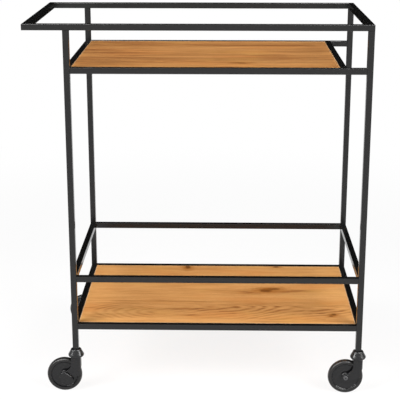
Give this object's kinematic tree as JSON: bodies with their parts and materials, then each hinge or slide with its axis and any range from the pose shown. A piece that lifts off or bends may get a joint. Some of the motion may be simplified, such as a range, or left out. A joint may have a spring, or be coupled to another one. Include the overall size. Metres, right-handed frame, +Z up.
{
  "type": "bar cart",
  "caption": "Two-tier rolling bar cart with a square-tube frame, a push-handle loop, guard rails, wood shelf panels and swivel casters, brakes on the handle side.",
  "frame": {"origin": "on the floor under the middle of the overall box", "axes": "+Z up, +X along the cart away from the push handle, -Y towards the front long side"},
  "size_m": [0.7166, 0.417, 0.8],
  "materials": {
    "frame_steel": "satin black powder coat",
    "wood_panel": "matt wild oak, grain along the cart",
    "plated_steel": "zinc plated",
    "moulded_black": "semi-gloss black moulding",
    "tyre_rubber": "black rubber"
  },
  "bodies": {
    "frame": {"top_rail_front": "frame_steel", "top_rail_back": "frame_steel", "handle_bar": "frame_steel", "top_rail_right": "frame_steel", "post_front_left": "frame_steel", "post_front_right": "frame_steel", "post_back_left": "frame_steel", "post_back_right": "frame_steel", "upper_rail_front": "frame_steel", "upper_rail_back": "frame_steel", "upper_rail_left": "frame_steel", "upper_cross_rail": "frame_steel", "guard_rail_front": "frame_steel", "guard_rail_back": "frame_steel", "guard_rail_left": "frame_steel", "guard_rail_right": "frame_steel", "lower_rail_front": "frame_steel", "lower_rail_back": "frame_steel", "lower_rail_left": "frame_steel", "lower_rail_right": "frame_steel", "upper_panel": "wood_panel", "lower_panel": "wood_panel", "upper_panel_tabs": "frame_steel", "lower_panel_tabs": "frame_steel", "upper_panel_screws": "plated_steel", "lower_panel_screws": "plated_steel", "leg_inserts": "moulded_black", "thrust_washers": "plated_steel", "stem_front_left": "plated_steel", "swivel_cap_front_left": "moulded_black", "stem_front_right": "plated_steel", "swivel_cap_front_right": "moulded_black", "stem_back_left": "plated_steel", "swivel_cap_back_left": "moulded_black", "stem_back_right": "plated_steel", "swivel_cap_back_right": "moulded_black"},
    "caster_front_left": {"fork_front_left": "moulded_black", "axle_front_left": "plated_steel"},
    "roller_front_left": {"wheel_front_left": "moulded_black", "tyre_front_left": "tyre_rubber"},
    "caster_front_right": {"fork_front_right": "moulded_black", "axle_front_right": "plated_steel"},
    "roller_front_right": {"wheel_front_right": "moulded_black", "tyre_front_right": "tyre_rubber"},
    "caster_back_left": {"fork_back_left": "moulded_black", "axle_back_left": "plated_steel"},
    "roller_back_left": {"wheel_back_left": "moulded_black", "tyre_back_left": "tyre_rubber"},
    "caster_back_right": {"fork_back_right": "moulded_black", "axle_back_right": "plated_steel"},
    "roller_back_right": {"wheel_back_right": "moulded_black", "tyre_back_right": "tyre_rubber"},
    "brake_front_left": {"brake_lever_front_left": "moulded_black"},
    "brake_back_left": {"brake_lever_back_left": "moulded_black"}
  },
  "joints": [
    {"name": "swivel_front_left", "type": "hinge", "parent": "frame", "child": "caster_front_left", "pos_m": [-0.26998, -0.19065, 0.0805], "axis": [0, 0, 1], "continuous": true},
    {"name": "roll_front_left", "type": "hinge", "parent": "caster_front_left", "child": "roller_front_left", "pos_m": [-0.29597, -0.19065, 0.038], "axis": [0, 1, 0], "continuous": true},
    {"name": "swivel_front_right", "type": "hinge", "parent": "frame", "child": "caster_front_right", "pos_m": [0.34132, -0.19065, 0.0805], "axis": [0, 0, 1], "continuous": true},
    {"name": "roll_front_right", "type": "hinge", "parent": "caster_front_right", "child": "roller_front_right", "pos_m": [0.31533, -0.19065, 0.038], "axis": [0, 1, 0], "continuous": true},
    {"name": "swivel_back_left", "type": "hinge", "parent": "frame", "child": "caster_back_left", "pos_m": [-0.26998, 0.19065, 0.0805], "axis": [0, 0, 1], "continuous": true},
    {"name": "roll_back_left", "type": "hinge", "parent": "caster_back_left", "child": "roller_back_left", "pos_m": [-0.29597, 0.19065, 0.038], "axis": [0, 1, 0], "continuous": true},
    {"name": "swivel_back_right", "type": "hinge", "parent": "frame", "child": "caster_back_right", "pos_m": [0.34132, 0.19065, 0.0805], "axis": [0, 0, 1], "continuous": true},
    {"name": "roll_back_right", "type": "hinge", "parent": "caster_back_right", "child": "roller_back_right", "pos_m": [0.31533, 0.19065, 0.038], "axis": [0, 1, 0], "continuous": true},
    {"name": "brake_front_left", "type": "hinge", "parent": "caster_front_left", "child": "brake_front_left", "pos_m": [-0.29597, -0.19065, 0.038], "axis": [0, 1, 0], "range_deg": [0, 30]},
    {"name": "brake_back_left", "type": "hinge", "parent": "caster_back_left", "child": "brake_back_left", "pos_m": [-0.29597, 0.19065, 0.038], "axis": [0, 1, 0], "range_deg": [0, 30]}
  ]
}
